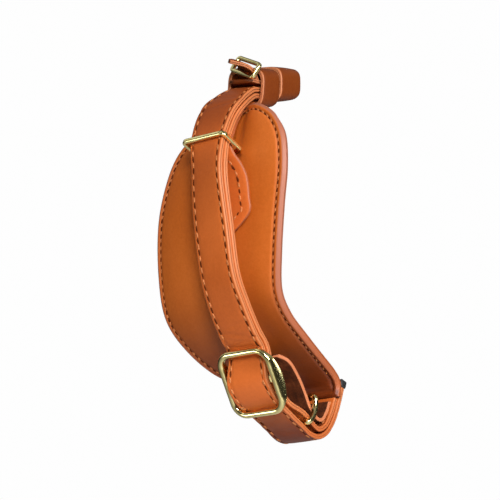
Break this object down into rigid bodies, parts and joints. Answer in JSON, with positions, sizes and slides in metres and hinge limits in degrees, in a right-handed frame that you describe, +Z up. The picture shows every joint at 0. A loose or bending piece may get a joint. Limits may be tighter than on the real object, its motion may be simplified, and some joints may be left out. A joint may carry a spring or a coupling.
{
  "type": "camera hand strap",
  "caption": "Leather camera hand strap with a padded back-of-hand panel, doubled strap, slide buckle, keeper rings and lug loops.",
  "frame": {"origin": "middle of the pad's hand side, where the back of the hand rests", "axes": "+Z up along the hand from the base anchor to the camera lug, +X along the fingers, +Y from the outside of the strap towards the hand"},
  "size_m": [0.0537, 0.0505, 0.1171],
  "materials": {
    "pad_leather": "satin",
    "strap_leather": "satin",
    "brass": "polished",
    "black_metal": "satin",
    "thread": "matte"
  },
  "bodies": {
    "root": {"hand_pad": "pad_leather", "sewn_tab": "strap_leather", "inner_strap": "strap_leather", "outer_strap": "strap_leather", "strap_tail": "strap_leather", "lug_thong": "strap_leather", "leather_loop": "strap_leather", "lug_loop": "strap_leather", "upper_keeper_ring": "brass", "lower_keeper_ring": "brass", "top_slider": "brass", "slide_buckle": "brass", "base_anchor": "black_metal"}
  },
  "joints": []
}
